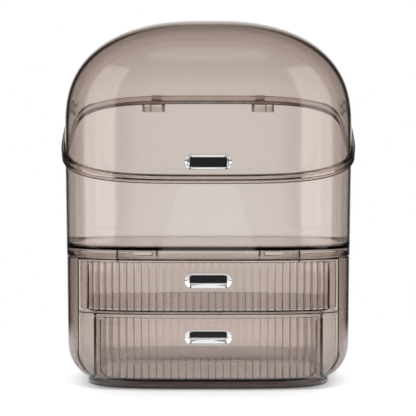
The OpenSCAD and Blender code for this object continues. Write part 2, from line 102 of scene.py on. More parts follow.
@dataclass
class CaseForm:
    """The form that every shell of the case shares: its plan outline, dome and parting plane.

    Attributes:
        half_width: Half of the case's width, flange left out.
        half_depth: Half of its depth.
        top: Height of the crown.
        power: Power of the plan outline's curve.
        wall: Thickness of the walls.
        spring: Height from which the dome draws in.
        dome_power: Power of the dome's curve.
        crown: Thickness of the crown as a share of the inset that a dome surface is given.
        parting_mid: Height of the parting plane over the middle of the case.
        parting_slope: Rise of the parting plane towards the back.
        seam: Half of the gap between lid and tub.
        rebate_h: Height of the tub's inner lip at the front.
        rebate_end: Share of the half depth behind the middle at which the inner lip ends.
        joint: Height at which the tub meets the base.
        draft_top: Height at which the tub's walls reach the plain outline.
        draft: Lean of the tub's walls below that.
        base_step: How far the base stands back below the joint.
        base_draft: Lean of the base's walls.
        angles: Angles of the outline's columns.
    """

    half_width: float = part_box("base_shell")[1][0]
    half_depth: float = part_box("base_shell")[1][1]
    top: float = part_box("lid_dome")[1][2]
    power: float = 3.6
    wall: float = 2.5 * MM
    spring: float = 253 * MM
    dome_power: float = 2.45
    crown: float = 1.35
    parting_mid: float = 240.5 * MM
    parting_slope: float = math.tan(math.radians(21))
    seam: float = 0.15 * MM
    rebate_h: float = 2.4 * MM
    rebate_end: float = 0.6
    joint: float = 125.6 * MM
    draft_top: float = 200 * MM
    draft: float = 0.016
    base_step: float = 1.5 * MM
    base_draft: float = 0.008
    angles: list[float] = field(init=False)

    def __post_init__(self) -> None:
        """Spreads the columns evenly along the outline."""
        self.angles = self._even_angles(COLUMNS)

    def plan(self, angle: float, half_width: float, half_depth: float) -> tuple[float, float]:
        """Gives a point of the plan outline.

        Args:
            angle: The angle in the outline's formula.
            half_width: Half of the outline's width.
            half_depth: Half of its depth.

        Returns:
            The point's place across and its depth.
        """
        c, s = math.cos(angle), math.sin(angle)
        share = 2 / self.power
        x, y = math.copysign(abs(c) ** share, c), math.copysign(abs(s) ** share, s)
        return x * half_width, y * half_depth

    def _even_angles(self, count: int) -> list[float]:
        """Finds the angles whose points lie at even steps along the plain outline.

        Args:
            count: Number of points.

        Returns:
            The angles, from the right end round.
        """
        fine = 8192
        turns = [2 * math.pi * (i / fine) for i in range(fine + 1)]
        points = [self.plan(t, self.half_width, self.half_depth) for t in turns]
        run = [0.0]
        for before, here in zip(points, points[1:]):
            run.append(run[-1] + math.dist(before, here))
        angles, k = [], 0
        for i in range(count):
            goal = run[-1] * i / count
            while run[k + 1] < goal:
                k += 1
            part = (goal - run[k]) / max(run[k + 1] - run[k], TINY)
            angles.append(turns[k] + part * (turns[k + 1] - turns[k]))
        return angles

    def front(self, x: float, out: float = 0.0) -> float:
        """Gives the depth of the outline's front at a distance from the middle."""
        share = min(abs(x) / (self.half_width + out), 1.0)
        return -(self.half_depth + out) * (1 - share ** self.power) ** (1 / self.power)

    def dome_scale(self, z: float, inset: float = 0.0) -> float:
        """Gives how far the outline has drawn in at a height on the dome."""
        rise = max(0.0, (z - self.spring) / (self.top - inset - self.spring))
        return max(0.0, 1 - min(rise, 1.0) ** self.dome_power) ** (1 / self.dome_power)

    def shrink(self, z: float) -> float:
        """Gives how far the moulding's draft draws the walls in at a height.

        Args:
            z: The height above the table.

        Returns:
            The distance inside the plain outline.
        """
        if z >= self.joint:
            return self.draft * max(0.0, self.draft_top - z)
        return self.base_step + self.base_draft * (self.joint - z)

    def parting(self, y: float) -> float:
        """Gives the parting plane's height at a depth."""
        return self.parting_mid + self.parting_slope * y

    def rebate(self, y: float) -> float:
        """Gives how far the tub's inner lip rises into the lid, nothing at the hinges."""
        fade = self.rebate_end * self.half_depth
        return self.rebate_h * min(max((fade - y) / fade, 0.0), 1.0)

    def ring(self, corner: Corner) -> Ring:
        """Makes the outline at one corner of a section.

        Args:
            corner: The corner.

        Returns:
            The outline's points.
        """
        points = []
        for angle in self.angles:
            out = corner.out - (self.shrink(corner.up) if corner.datum is Datum.TABLE else 0.0)
            x, y = self.plan(angle, self.half_width + out, self.half_depth + out)
            z = corner.up if corner.datum is Datum.TABLE else self.parting(y) + corner.up
            if corner.datum is Datum.REBATE:
                z += self.rebate(y)
            points.append((x, y, z))
        return points

    def dome_rows(self, inset: float, lift: float, count: int) -> list[Ring]:
        """Makes rings from a sloping height above the parting plane up to the crown.

        Args:
            inset: Distance inside the outer form, 0 for the outside.
            lift: Height of the first ring above the parting plane.
            count: Number of rings.

        Returns:
            The rings, lowest first.
        """
        a, b = self.half_width - inset, self.half_depth - inset
        high = self.top - inset * self.crown - self.spring
        share = 2 / self.dome_power
        last, drop, rounds = math.radians(89.6), 120 * MM, 6
        columns = []
        for angle in self.angles:
            x, y = self.plan(angle, a, b)
            z = self.parting(y) + lift
            for _ in range(rounds):
                z = self.parting(y * self.dome_scale(z, inset)) + lift
            if z < self.spring:
                start = (z - self.spring) / drop
            else:
                start = math.asin(((z - self.spring) / high) ** (1 / share))
            column = []
            for k in range(count):
                f = start + (last - start) * k / (count - 1)
                if f < 0:
                    column.append((x, y, self.spring + f * drop))
                else:
                    s = math.cos(f) ** share
                    column.append((x * s, y * s, self.spring + high * math.sin(f) ** share))
            columns.append(column)
        return [[column[k] for column in columns] for k in range(count)]


CASE = CaseForm()


def quarter_turn(steps: int) -> list[float]:
    """Gives even angles over a quarter turn, both ends included."""
    return [math.pi / 2 * k / steps for k in range(steps + 1)]


def level(corner: Corner) -> float:
    """Gives a corner's height above the table over the middle of the case.

    Args:
        corner: The corner.

    Returns:
        The height.
    """
    if corner.datum is Datum.TABLE:
        return corner.up
    return CASE.parting_mid + corner.up + (CASE.rebate_h if corner.datum is Datum.REBATE else 0.0)


def heading(start: Corner, end: Corner) -> Vector:
    """Gives the direction of a run of a section, upright where it joins two datums.

    Args:
        start: The corner it starts from.
        end: The corner it ends at.

    Returns:
        The direction, one long.
    """
    if start.datum is end.datum:
        return Vector((end.out - start.out, end.up - start.up)).normalized()
    return Vector((0.0, math.copysign(1.0, level(end) - level(start))))


def has_room(start: Corner, end: Corner, support: float) -> bool:
    """Tells whether a run has room for a support point at each end.

    Args:
        start: The corner it starts from.
        end: The corner it ends at.
        support: Distance of a support point from the end of the run.

    Returns:
        True where the run is long enough, as it always is between two datums.
    """
    needed = 2.5 * support + start.radius + end.radius
    return start.datum is not end.datum or math.hypot(end.out - start.out, end.up - start.up) > needed


def rounded_section(corners: Sequence[Corner], steps: int = 4, support: float = 1.2 * MM) -> list[Corner]:
    """Rounds a section's corners and adds a support point beside each on long runs.

    Args:
        corners: The corners in order.
        steps: Number of pieces in each rounding.
        support: Distance of a support point from the end of a run.

    Returns:
        The points of the section.
    """
    points: list[Corner] = []
    for i, here in enumerate(corners):
        if i in (0, len(corners) - 1) or here.radius <= 0:
            points.append(here)
            continue
        before, after = corners[i - 1], corners[i + 1]
        back, on = heading(here, before), heading(here, after)
        place = Vector((here.out, here.up))
        centre = place + here.radius * (back + on)
        bend = [centre - here.radius * (on * math.cos(a) + back * math.sin(a)) for a in quarter_turn(steps)]
        if has_room(before, here, support):
            bend.insert(0, place + back * (here.radius + support))
        if has_room(here, after, support):
            bend.append(place + on * (here.radius + support))
        points += [Corner(p.x, p.y, 0.0, here.datum) for p in bend]
    return points


def placed(name: str, data: bpy.types.ID) -> bpy.types.Object:
    """Puts a mesh, camera or lamp into the scene.

    Args:
        name: Name of its object.
        data: The mesh, camera or lamp.

    Returns:
        The object.
    """
    piece = bpy.data.objects.new(name, data)
    bpy.context.scene.collection.objects.link(piece)
    return piece


def mesh_piece(name: str, verts: Sequence[Point], faces: Sequence[tuple[int, ...]]) -> bpy.types.Object:
    """Makes a smooth mesh and puts it into the scene.

    Args:
        name: Name of the mesh and its object.
        verts: Its points.
        faces: Its faces, each the numbers of its points.

    Returns:
        The new object.
    """
    mesh = bpy.data.meshes.new(name)
    mesh.from_pydata(verts, [], faces)
    mesh.validate()
    mesh.shade_smooth()
    return placed(name, mesh)


def skin(name: str, rings: Sequence[Ring], loop: bool = False) -> bpy.types.Object:
    """Skins a stack of rings into one smooth closed piece.

    Args:
        name: The piece's name.
        rings: Rings with the same number of points, going round the section with the wall on the left.
        loop: True where the last ring joins the first, so that no end is capped.

    Returns:
        The new object.
    """
    count = len(rings[0])
    faces: list[tuple[int, ...]] = []
    for k in range(len(rings) if loop else len(rings) - 1):
        low, high = k * count, (k + 1) % len(rings) * count
        for i in range(count):
            j = (i + 1) % count
            faces.append((low + i, low + j, high + j, high + i))
    if not loop:
        faces.append(tuple(range(count - 1, -1, -1)))
        faces.append(tuple(range((len(rings) - 1) * count, len(rings) * count)))
    return mesh_piece(name, [p for ring in rings for p in ring], faces)


def turned(name: str, corners: Sequence[Corner], loop: bool = False) -> bpy.types.Object:
    """Makes a piece of the case from the points of its section."""
    return skin(name, [CASE.ring(c) for c in corners], loop)


def settle(piece: bpy.types.Object) -> None:
    """Turns a piece and its modifiers into a plain mesh.

    Args:
        piece: The piece.
    """
    graph = bpy.context.evaluated_depsgraph_get()
    mesh = bpy.data.meshes.new_from_object(piece.evaluated_get(graph))
    old = piece.data
    piece.modifiers.clear()
    piece.data = mesh
    mesh.name = piece.name
    if old.users == 0:
        bpy.data.meshes.remove(old)


def cut(piece: bpy.types.Object, cutter: bpy.types.Object, operation: str = "DIFFERENCE") -> None:
    """Cuts a piece with another, which is then deleted.

    Args:
        piece: The piece that is kept.
        cutter: The piece that shapes it.
        operation: How the two combine, as the Boolean modifier names it.
    """
    change = piece.modifiers.new("cut", "BOOLEAN")
    change.operation = operation
    change.object = cutter
    change.solver = "EXACT"
    settle(piece)
    bpy.data.objects.remove(cutter)


def crease(piece: bpy.types.Object, degrees: float = 35.0) -> None:
    """Keeps edges sharper than an angle crisp under smooth shading."""
    piece.data.shade_smooth()
    piece.data.set_sharp_from_angle(angle=math.radians(degrees))


def merge(piece: bpy.types.Object, parts: Sequence[bpy.types.Object]) -> None:
    """Joins loose parts of one moulding into its mesh.

    Args:
        piece: The piece that takes them in.
        parts: The parts, which are then deleted.
    """
    joined = bmesh.new()
    joined.from_mesh(piece.data)
    for part in parts:
        joined.from_mesh(part.data)
        bpy.data.objects.remove(part)
    joined.to_mesh(piece.data)
    joined.free()


def pill(width: float, height: float, top: float | None = None, low: float | None = None,
         count: int = 96) -> Outline:
    """Gives a flat outline with rounded corners, counter-clockwise from its right end.

    Args:
        width: Its width.
        height: Its height.
        top: Radius of the upper corners, half the height if left out.
        low: Radius of the lower corners, half the height if left out.
        count: Number of points, a multiple of four.

    Returns:
        The points.
    """
    upper = height / 2 if top is None else top
    lower = height / 2 if low is None else low
    points = []
    for k in range(count):
        a = 2 * math.pi * (k + 0.5) / count
        c, s = math.cos(a), math.sin(a)
        r = upper if s > 0 else lower
        x, z = math.copysign(width / 2 - r, c), math.copysign(height / 2 - r, s)
        points.append((x + r * c, z + r * s))
    return points


def round_footed(half_width: float, low: float, high: float, r: float, steps: int = 12) -> Outline:
    """Gives an outline with rounded lower corners and square upper ones, counter-clockwise.

    Args:
        half_width: Half of its width.
        low: Height of its foot.
        high: Height of its top.
        r: Radius of the lower corners.
        steps: Number of pieces in each rounding.

    Returns:
        The points.
    """
    points = [(half_width, high), (-half_width, high)]
    for x, turn in ((r - half_width, math.pi), (half_width - r, -math.pi / 2)):
        points += [(x + r * math.cos(turn + a), low + r + r * math.sin(turn + a))
                   for a in quarter_turn(steps)]
    return points


def block(name: str, outline: Outline, front: float, back: float) -> bpy.types.Object:
    """Makes a plain block with an outline seen from the front, between two depths."""
    return skin(name, [[(x, y, z) for x, z in outline] for y in (back, front)])


@dataclass
class Wiring:
    """Adds nodes to one node tree and wires them.

    Attributes:
        tree: The tree of a material, the world or a node group.
    """

    tree: bpy.types.NodeTree

    def feed(self, node: bpy.types.Node, inputs: dict[str | int, object]) -> bpy.types.Node:
        """Sets inputs of a node.

        Args:
            node: The node.
            inputs: For each input's name or number, its value or the socket that feeds it.

        Returns:
            The node.
        """
        for name, value in inputs.items():
            if isinstance(value, bpy.types.NodeSocket):
                self.tree.links.new(value, node.inputs[name])
            else:
                node.inputs[name].default_value = value
        return node

    def add(self, kind: str, inputs: dict[str | int, object] | None = None,
            **settings: str) -> bpy.types.Node:
        """Adds a node.

        Args:
            kind: The node's type.
            inputs: Its inputs, as feed takes them.
            **settings: Its own choices, such as its operation.

        Returns:
            The node.
        """
        node = self.tree.nodes.new(kind)
        for name, value in settings.items():
            setattr(node, name, value)
        return self.feed(node, inputs or {})

    def join(self, kind: str, *values: bpy.types.NodeSocket | float) -> bpy.types.NodeSocket:
        """Combines sockets and numbers by one kind of sum."""
        return self.add("ShaderNodeMath", dict(enumerate(values)), operation=kind).outputs[0]

    def length(self, a: bpy.types.NodeSocket, b: bpy.types.NodeSocket) -> bpy.types.NodeSocket:
        """Gives the length of the diagonal over two sides."""
        return self.join("SQRT", self.join("ADD", self.join("MULTIPLY", a, a), self.join("MULTIPLY", b, b)))

    def step(self, value: bpy.types.NodeSocket, low: float, high: float) -> bpy.types.NodeSocket:
        """Gives a smooth step from 0 at one value to 1 at another."""
        inputs = {"Value": value, "From Min": low, "From Max": high}
        return self.add("ShaderNodeMapRange", inputs, interpolation_type="SMOOTHSTEP").outputs["Result"]


def new_material(name: str) -> tuple[bpy.types.Material, Wiring]:
    """Makes a material with nodes.

    Args:
        name: The material's name.

    Returns:
        The material and the wiring of its tree.
    """
    material = bpy.data.materials.new(name)
    material.use_nodes = True
    return material, Wiring(material.node_tree)


class Slot(Enum):
    """The record's material slots."""

    SHELL = "smoky_shell"
    TRAY = "smoky_tray"
    FRAME = "smoky_frame"
    CHROME = "pull_chrome"
    STEEL = "pin_steel"


@dataclass(frozen=True)
class ClearPlastic:
    """Smoky clear moulded plastic, tinted in its depth.

    Attributes:
        name: Name of the material.
        keep: Share of red, green and blue light kept through one case wall.
        wall: Thickness of that wall.
        roughness: Roughness of the moulded surface.
        bend: Index of refraction.
        headroom: Density of the tint over its strongest colour's loss.
        flow: Strength of the faint flow marks.
        flow_scale: How close together the flow marks lie.
        flow_height: Height of the flow marks.
    """

    name: str
    keep: tuple[float, float, float]
    wall: float = 2.5 * MM
    roughness: float = 0.03
    bend: float = 1.49
    headroom: float = 1.25
    flow: float = 0.012
    flow_scale: float = 9
    flow_height: float = 10 * MM

    def make(self) -> bpy.types.Material:
        """Builds the material: a clear surface with faint flow marks over a tinted depth.

        Returns:
            The material.
        """
        material, wiring = new_material(self.name)
        wiring.tree.nodes.clear()
        place = wiring.add("ShaderNodeTexCoord").outputs["Object"]
        marks = wiring.add("ShaderNodeTexNoise", {"Vector": place, "Scale": self.flow_scale, "Detail": 2})
        bump = wiring.add("ShaderNodeBump", {"Strength": self.flow, "Distance": self.flow_height,
                                             "Height": marks.outputs["Fac"]})
        surface = wiring.add("ShaderNodeBsdfPrincipled", {
            "Base Color": WHITE, "Roughness": self.roughness, "IOR": self.bend,
            "Transmission Weight": 1.0, "Normal": bump.outputs["Normal"]})
        loss = [-math.log(k) / self.wall for k in self.keep]
        density = max(loss) * self.headroom
        tint = tuple(1 - s / density for s in loss) + (1,)
        depth = wiring.add("ShaderNodeVolumeAbsorption", {"Density": density, "Color": tint})
        wiring.add("ShaderNodeOutputMaterial", {
            "Surface": surface.outputs["BSDF"], "Volume": depth.outputs["Volume"]})
        return material


@dataclass(frozen=True)
class PolishedMetal:
    """Polished or drawn metal with fine wipe marks.

    Attributes:
        name: Name of the material.
        colour: Its red, green and blue.
        roughness: Roughness between the wipe marks.
        spread: Added roughness on the marks.
        wipe_scale: How close together the marks lie.
    """

    name: str
    colour: tuple[float, float, float]
    roughness: float
    spread: float = 0.03
    wipe_scale: float = 260

    def make(self) -> bpy.types.Material:
        """Builds the material, its roughness varied by the marks.

        Returns:
            The material.
        """
        material, wiring = new_material(self.name)
        place = wiring.add("ShaderNodeTexCoord").outputs["Object"]
        wipes = wiring.add("ShaderNodeTexNoise", {"Vector": place, "Scale": self.wipe_scale})
        rough = wiring.add("ShaderNodeMapRange", {"Value": wipes.outputs["Fac"], "To Min": self.roughness,
                                                  "To Max": self.roughness + self.spread})
        wiring.feed(wiring.tree.nodes["Principled BSDF"], {
            "Base Color": (*self.colour, 1), "Metallic": 1.0, "Roughness": rough.outputs["Result"]})
        return material


@dataclass
class Finishes:
    """All finishes of the organizer, by slot.

    Attributes:
        clear: The clear plastics.
        metal: The metals.
        made: The material of each slot.
    """

    clear: dict[Slot, ClearPlastic] = field(default_factory=lambda: {
        Slot.SHELL: ClearPlastic("clear shell plastic", (0.815, 0.768, 0.742)),
        Slot.TRAY: ClearPlastic("clear drawer plastic", (0.745, 0.675, 0.637)),
        Slot.FRAME: ClearPlastic("dark clear plastic", (0.72, 0.66, 0.63)),
    })
    metal: dict[Slot, PolishedMetal] = field(default_factory=lambda: {
        Slot.CHROME: PolishedMetal("bright chrome", (0.86, 0.86, 0.87), 0.07),
        Slot.STEEL: PolishedMetal("drawn steel", (0.5, 0.49, 0.48), 0.3),
    })
    made: dict[Slot, bpy.types.Material] = field(init=False)

    def __post_init__(self) -> None:
        """Makes every material once."""
        self.made = {slot: finish.make() for slot, finish in (self.clear | self.metal).items()}

    def paint(self, piece: bpy.types.Object, slot: Slot) -> None:
        """Gives a piece or solid one finish."""
        piece.data.materials.clear()
        piece.data.materials.append(self.made[slot])

    def dress(self, piece: bpy.types.Object, slot: Slot, body: str, *nodes: str) -> None:
        """Paints a piece, puts it on its body and lets it stand for its solids.

        Args:
            piece: The piece.
            slot: The slot whose finish it takes.
            body: The body it rides on.
            *nodes: The solids it stands for.
        """
        self.paint(piece, slot)
        if nodes:
            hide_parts(*nodes)
        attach(piece, body)
        LOG.info("%s rides on %s", piece.name, body)

    def dress_solids(self, slot: Slot, *names: str) -> None:
        """Paints solids that are shown as they are.

        Args:
            slot: The slot whose finish they take.
            *names: The solids' names.
        """
        for name in names:
            self.paint(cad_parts[name], slot)
            LOG.info("%s keeps its solid", name)


@dataclass
class Pull:
    """A chrome pull: a thin lip, a slanting bevel and a deep finger recess.

    Attributes:
        bevel_low: Height of the bevel under the recess.
        bevel_end: Width of the bevel at each end.
        bevel_top: Height of the bevel over the recess.
        bevel_tilt: Angle between the bevel and the upright.
        recess_top: Radius of the recess's upper corners.
        recess_low: Radius of the recess's lower corners.
        lean: Backwards lean of the recess's floor.
        width: Width of the lip.
        height: Height of the lip.
        lip: Width of the lip's rounded edge.
        proud: How far the lip stands out of the face.
        depth: Depth of the whole pull.
        body_side: How far the body draws in behind the lip at the ends.
        body_top: How far it draws in above and below.
        room: Gap between the body and its hole.
    """

    bevel_low: float = 4.0 * MM
    bevel_end: float = 3.4 * MM
    bevel_top: float = 0.75 * MM
    bevel_tilt: float = 36
    recess_top: float = 3.4 * MM
    recess_low: float = 0.9 * MM
    lean: float = 0.09
    width: float = 44.8 * MM
    height: float = 14.3 * MM
    lip: float = 0.5 * MM
    proud: float = 1.8 * MM
    depth: float = 8 * MM
    body_side: float = 3.0 * MM
    body_top: float = 0.75 * MM
    room: float = 0.2 * MM

    def cut_hole(self, piece: bpy.types.Object, z: float, face: float) -> None:
        """Cuts the hole that the pull's body passes through.

        Args:
            piece: The piece that carries the pull.
            z: Height of the pull's middle.
            face: Depth of the face it sits on.
        """
        side, top = self.body_side - self.room, self.body_top - self.room
        outline = [(x, z + h) for x, h in pill(self.width - 2 * side, self.height - 2 * top)]
        cut(piece, block("hole", outline, face - self.depth, face + self.depth))

    def make(self, name: str, z: float, face: float) -> bpy.types.Object:
        """Lofts the pull from the back of its body over the lip and into the recess.

        Args:
            name: The piece's name.
            z: Height of its middle.
            face: Depth of the face it sits on.

        Returns:
            The pull.
        """
        front = face - self.proud
        rings = self._outside(z, face) + self._bevel(z, front + self.lip)
        cup = skin(name, rings + self._recess(rings[-1], z, front + self.depth))
        crease(cup, degrees=30)
        return cup

    def _ring(self, side: float, end: float, y: float, z: float) -> Ring:
        """Gives the pill drawn in along its sides and at its ends."""
        return [(x, y, z + h) for x, h in pill(self.width - 2 * end, self.height - 2 * side)]

    def _outside(self, z: float, face: float) -> list[Ring]:
        """Gives the body, the seat behind the lip and the lip's rounded edge.

        Args:
            z: Height of the pull's middle.
            face: Depth of the face it sits on.

        Returns:
            The rings, from the back.
        """
        front, seat, steps, fullness = face - self.proud, face + 0.02 * MM, 7, 0.7
        rings = [self._ring(self.body_top, self.body_side, front + self.depth + 2 * SOFT, z),
                 self._ring(self.body_top, self.body_side, seat, z),
                 self._ring(SOFT, SOFT, seat, z), self._ring(0.0, 0.0, face - SOFT, z)]
        for k in range(1, steps):
            a = math.pi * k / steps
            inset = self.lip * (1 - math.cos(a)) / 2
            rings.append(self._ring(inset, inset, front + self.lip * (1 - math.sin(a) ** fullness), z))
        return rings

    def _bevel(self, z: float, begin: float) -> list[Ring]:
        """Gives the bevel, which falls at one angle all round the mouth.

        Args:
            z: Height of the pull's middle.
            begin: Depth of the mouth.

        Returns:
            The rings, from the mouth to the recess.
        """
        mouth = pill(self.width - 2 * self.lip, self.height - 2 * self.lip)
        high = self.height - 2 * self.lip - self.bevel_low - self.bevel_top
        recess = [(x, h + self._shift()) for x, h in pill(self.width - 2 * (self.lip + self.bevel_end), high,
                                                          self.recess_top, self.recess_low)]
        slope = math.tan(math.radians(self.bevel_tilt))
        turns = [2 * math.pi * (k + 0.5) / len(mouth) for k in range(len(mouth))]
        falls = [slope * ((a - c) * math.cos(t) + (b - d) * math.sin(t))
                 for t, (a, b), (c, d) in zip(turns, mouth, recess)]
        return [[(a + share * (c - a), begin + share * fall, z + b + share * (d - b))
                 for (a, b), (c, d), fall in zip(mouth, recess, falls)] for share in (0.03, 0.35, 0.7, 1.0)]

    def _shift(self) -> float:
        """Gives how far the recess lies above the pull's middle."""
        return (self.bevel_low - self.bevel_top) / 2

    def _recess(self, mouth: Ring, z: float, back: float) -> list[Ring]:
        """Gives the recess's walls and its leaning floor.

        Args:
            mouth: The ring at the end of the bevel.
            z: Height of the pull's middle.
            back: Depth of the pull's back.

        Returns:
            The rings, from the front.
        """
        floor, middle = back - 2 * SOFT, z + self._shift()
        lead, foot = 0.997, 0.99
        rings = [[(x * lead, min(y + SOFT, floor - SOFT), h) for x, y, h in mouth]]
        rings.append([(x * foot, floor - SOFT + self.lean * (h - middle), h) for x, _, h in rings[-1]])
        for wide, tall in ((0.985, 0.96), (0.97, 0.93), (0.9, 0.8)):
            rings.append([(x * wide, floor + self.lean * (h - middle) * tall, middle + (h - middle) * tall)
                          for x, _, h in rings[-1]])
        return rings


@dataclass
class Lid:
    """The domed lid with its sloping flange, hinge knuckles and pull.

    Attributes:
        finishes: The finishes of the organizer.
        flange_reach: How far the flange stands out of the case.
        flange_t: Height of the flange.
        flange_round: Rounding of the flange's upper edge.
        dome_t: Thickness of the dome.
        rise: Height above the rim at which the dome's inside begins.
        run_up: Height above the flange at which its outside begins.
        rows: Number of rings in the dome's inside and in its outside.
        pull: The pull.
        pull_z: Height of the pull's middle.
    """

    finishes: Finishes
    flange_reach: float = 3.5 * MM
    flange_t: float = 5.0 * MM
    flange_round: float = 1.2 * MM
    dome_t: float = 3.0 * MM
    rise: float = 4 * MM
    run_up: float = 2 * MM
    rows: int = 60
    pull: Pull = field(default_factory=lambda: Pull(bevel_low=1.7 * MM))
    pull_z: float = 218.2 * MM

    def build(self) -> None:
        """Builds the dome and its pull and dresses the knuckles."""
        face = -CASE.half_depth
        dome = skin("dome", self._rings())
        self.pull.cut_hole(dome, self.pull_z, face)
        crease(dome, degrees=50)
        self.finishes.dress(dome, Slot.SHELL, "lid", "lid_dome")
        self.finishes.dress_solids(Slot.SHELL, "hinge_knuckle_left", "hinge_knuckle_right")
        self.finishes.dress(self.pull.make("lid_cup", self.pull_z, face), Slot.CHROME, "lid", "lid_pull")

    def _rings(self) -> list[Ring]:
        """Gives the dome's inside from the crown down, its rim, and its outside up to the crown.

        Returns:
            The rings, in that order.
        """
        wall, low, high = self.dome_t, CASE.seam, CASE.seam + self.flange_t
        rim = rounded_section([
            Corner(-wall, low + self.rise, 0, Datum.PARTING),
            Corner(-wall, low, SOFT, Datum.REBATE),
            Corner(-CASE.seam, low, TIGHT, Datum.REBATE),
            Corner(-CASE.seam, low, TIGHT, Datum.PARTING),
            Corner(self.flange_reach, low, SOFT, Datum.PARTING),
            Corner(self.flange_reach, high, self.flange_round, Datum.PARTING),
            Corner(0.0, high, 0.7 * MM, Datum.PARTING),
            Corner(0.0, high + self.run_up, 0, Datum.PARTING),
        ])[1:-1]
        inside = CASE.dome_rows(wall, low + self.rise, self.rows)
        outside = CASE.dome_rows(0.0, high + self.run_up, self.rows)
        return inside[::-1] + [CASE.ring(c) for c in rim] + outside


@dataclass
class Housing:
    """The tub, base, plinth, shelf, guides and hinge brackets.

    Attributes:
        finishes: The finishes of the organizer.
        base_top: Height of the base's rim.
        floor: Height of the tub's floor.
        floor_under: Height of its underside.
        floor_fillet: Rounding between the tub's floor and walls.
        flange_reach: How far the tub's flange stands out of the case.
        flange_t: Height of that flange.
        tub_round: Rounding of the tub's foot at the joint.
        base_round: Rounding of the base's rim at the joint.
        foot_h: Height of the plinth.
        round_in: How far the base's lower edge curves in.
        round_h: Height of that curve.
        opening_half: Half of the front opening's width.
        opening_low: Height of its foot.
        opening_round: Radius of its lower corners.
        opening_deep: Depth that the opening reaches to, as a share of the half depth.
        ledge_t: Thickness of the ledge inside the base's rim.
        bar_low: Height of the foot of the bar between the drawers.
        bar_high: Height of its top.
        bar_t: Its thickness.
        bar_gap: Gap between the bar's ends and the opening.
        shelf_low: Height of the shelf's underside.
        shelf_t: Thickness of the shelf.
        spigot_gap: Gap between the spigot and the tub.
        spigot_top: Height of the spigot between its clips.
        clip_top: Height of the clips.
        clip_x: Distance of a clip from the middle.
        clip_foot: Half of a clip's width at its foot.
        clip_head: Half of its width at its top.
        window: Width and height of a clip's window.
        rib_t: Thickness of the ribs under the tub's floor.
        ribs: Distance from the middle, foot and half length of the ribs on one side.
        foot_half: Half of the plinth's width and depth.
    """

    finishes: Finishes
    base_top: float = 125.5 * MM
    floor: float = 136.4 * MM
    floor_under: float = 134.2 * MM
    floor_fillet: float = 3 * MM
    flange_reach: float = 3.5 * MM
    flange_t: float = 3.0 * MM
    tub_round: float = 1.3 * MM
    base_round: float = 1.5 * MM
    foot_h: float = 5 * MM
    round_in: float = 29 * MM
    round_h: float = 34 * MM
    opening_half: float = 125 * MM
    opening_low: float = 10 * MM
    opening_round: float = 24 * MM
    opening_deep: float = 0.55
    ledge_t: float = 1.6 * MM
    bar_low: float = 70.8 * MM
    bar_high: float = 74.9 * MM
    bar_t: float = 2.6 * MM
    bar_gap: float = 0.6 * MM
    shelf_low: float = 72.6 * MM
    shelf_t: float = 0.8 * MM
    spigot_gap: float = 0.2 * MM
    spigot_top: float = 131 * MM
    clip_top: float = 133.9 * MM
    clip_x: float = 62.5 * MM
    clip_foot: float = 15 * MM
    clip_head: float = 12 * MM
    window: tuple[float, float] = (17.6 * MM, 3.8 * MM)
    rib_t: float = 1.6 * MM
    ribs: tuple[Point, ...] = ((49 * MM, 128 * MM, 90 * MM), (87 * MM, 121.8 * MM, 86 * MM))
    foot_half: tuple[float, float] = (119 * MM, 84 * MM)

    def build(self) -> None:
        """Builds every piece of the housing."""
        self._tub()
        self._base()
        self._plinth()
        self._divider()
        self.finishes.dress_solids(Slot.FRAME, "side_guide_left", "side_guide_right",
                                   "hinge_bracket_left", "hinge_bracket_right")
        self.finishes.dress_solids(Slot.STEEL, "hinge_pin_left", "hinge_pin_right")

    def _tub(self) -> None:
        """Builds the compartment tub as one turned shell with ribs under its floor."""
        wall, edge, fillet = CASE.wall, 0.7 * MM, 0.4 * MM
        middle = -CORE * CASE.half_depth
        top, lip = -CASE.seam, -3 * CASE.seam
        foot = self.base_top + 0.2 * MM
        tub = turned("tub", rounded_section([
            Corner(middle, self.floor_under),
            Corner(-wall, self.floor_under, fillet),
            Corner(-wall, foot, SOFT),
            Corner(0, foot, self.tub_round),
            Corner(0, top - self.flange_t, edge, Datum.PARTING),
            Corner(self.flange_reach, top - self.flange_t, edge, Datum.PARTING),
            Corner(self.flange_reach, top, SOFT, Datum.PARTING),
            Corner(lip, top, TIGHT, Datum.PARTING),
            Corner(lip, top, TIGHT, Datum.REBATE),
            Corner(-wall, top, fillet, Datum.REBATE),
            Corner(-wall, self.floor, self.floor_fillet),
            Corner(middle, self.floor),
        ]))
        merge(tub, [self._rib(side * x, low, reach) for side in (-1, 1) for x, low, reach in self.ribs])
        crease(tub, degrees=50)
        self.finishes.dress(tub, Slot.SHELL, "housing", "compartment_tub")

    def _rib(self, x: float, low: float, reach: float) -> bpy.types.Object:
        """Builds one upright rib under the tub's floor.

        Args:
            x: Its distance from the middle.
            low: Height of its foot.
            reach: Half of its length.

        Returns:
            The rib.
        """
        t, high = self.rib_t / 2, self.floor_under - 0.02 * MM
        outline = [(x + t, low + SOFT), (x + t, high), (x - t, high), (x - t, low + SOFT),
                   (x - t + SOFT, low), (x + t - SOFT, low)]
        rib = block("rib", outline, -reach, reach)
        rib.data.shade_flat()
        return rib

    def _bucket(self, inset: float) -> list[Corner]:
        """Gives the section of the base's rounded lower edge.

        Args:
            inset: Distance inside the outer face.

        Returns:
            The section's corners, from the bottom up.
        """
        reach, rise = self.round_in - inset, self.round_h - inset
        return [Corner(-inset - reach * (1 - math.sin(a)), self.foot_h + inset + rise * (1 - math.cos(a)))
                for a in quarter_turn(14)]

